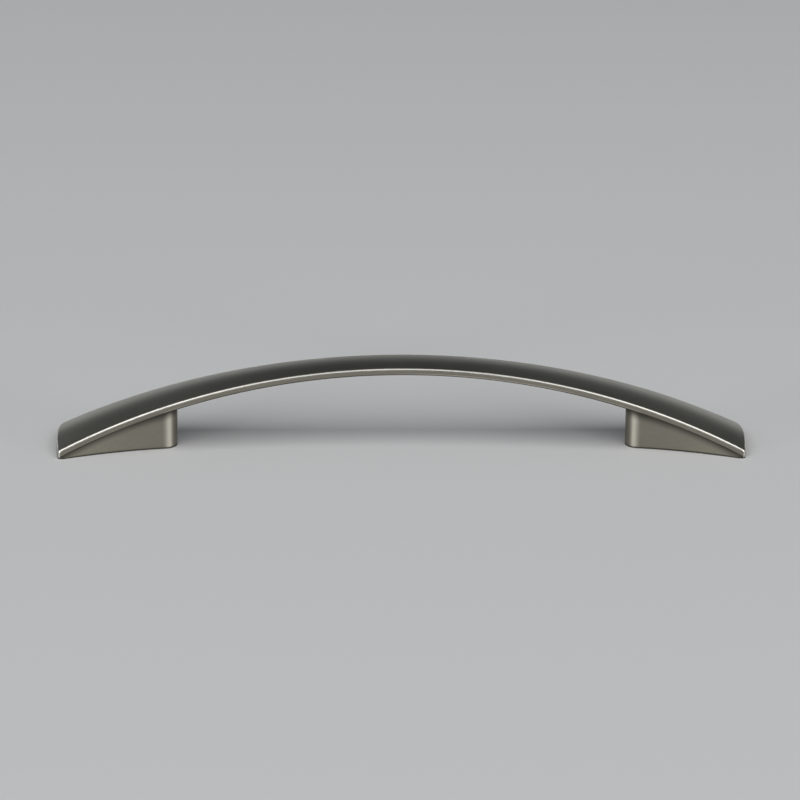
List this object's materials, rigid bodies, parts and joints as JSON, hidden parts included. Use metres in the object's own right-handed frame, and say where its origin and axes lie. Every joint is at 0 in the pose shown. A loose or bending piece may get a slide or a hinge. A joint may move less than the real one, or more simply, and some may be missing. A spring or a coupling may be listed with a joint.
{
  "type": "bow handle",
  "caption": "Arched bow handle for a cabinet door or drawer: a crowned band, waisted in the middle and flared at its ends, on wedge-shaped feet tapped from behind for screws.",
  "frame": {"origin": "middle of the mounting face, midway between the two screw holes", "axes": "+X along the handle, +Z away from the door or drawer front, towards the hand"},
  "size_m": [0.2202, 0.026, 0.0287],
  "materials": {
    "satin_nickel": "satin nickel plate on cast zinc"
  },
  "bodies": {
    "root": {"bow_handle": "satin_nickel"}
  },
  "joints": []
}
